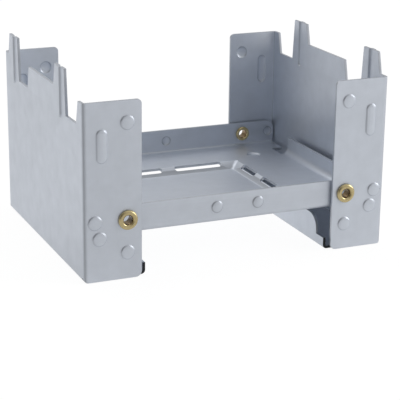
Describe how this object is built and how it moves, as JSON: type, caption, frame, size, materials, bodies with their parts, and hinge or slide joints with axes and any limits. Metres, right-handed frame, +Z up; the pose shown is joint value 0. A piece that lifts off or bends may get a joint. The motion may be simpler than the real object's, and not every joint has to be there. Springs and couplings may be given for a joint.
{
  "type": "folding solid fuel stove",
  "caption": "Folding stove for solid fuel tablets: a shallow steel tray with air slits, hinged on brass eyelets between two channel-shaped end plates that carry the pot and fold shut.",
  "frame": {"origin": "On the ground under the middle of the open stove.", "axes": "+Z is up. X is the length, from end plate to end plate. Y runs from the front wall of the tray to the back one."},
  "size_m": [0.0946, 0.076, 0.0573],
  "materials": {
    "galvanised_steel": "satin, zinc plated sheet",
    "brass": "satin"
  },
  "bodies": {
    "tray": {"tray": "galvanised_steel", "eyelet_left_front": "brass", "eyelet_left_back": "brass", "eyelet_right_front": "brass", "eyelet_right_back": "brass"},
    "left_end_plate": {"left_end_plate": "galvanised_steel"},
    "right_end_plate": {"right_end_plate": "galvanised_steel"}
  },
  "joints": [
    {"name": "left_hinge", "type": "hinge", "parent": "tray", "child": "left_end_plate", "pos_m": [-0.034, 0, 0.0172], "axis": [0, 1, 0], "range_deg": [0, 90]},
    {"name": "right_hinge", "type": "hinge", "parent": "tray", "child": "right_end_plate", "pos_m": [0.034, 0, 0.0172], "axis": [0, -1, 0], "range_deg": [0, 90]}
  ]
}
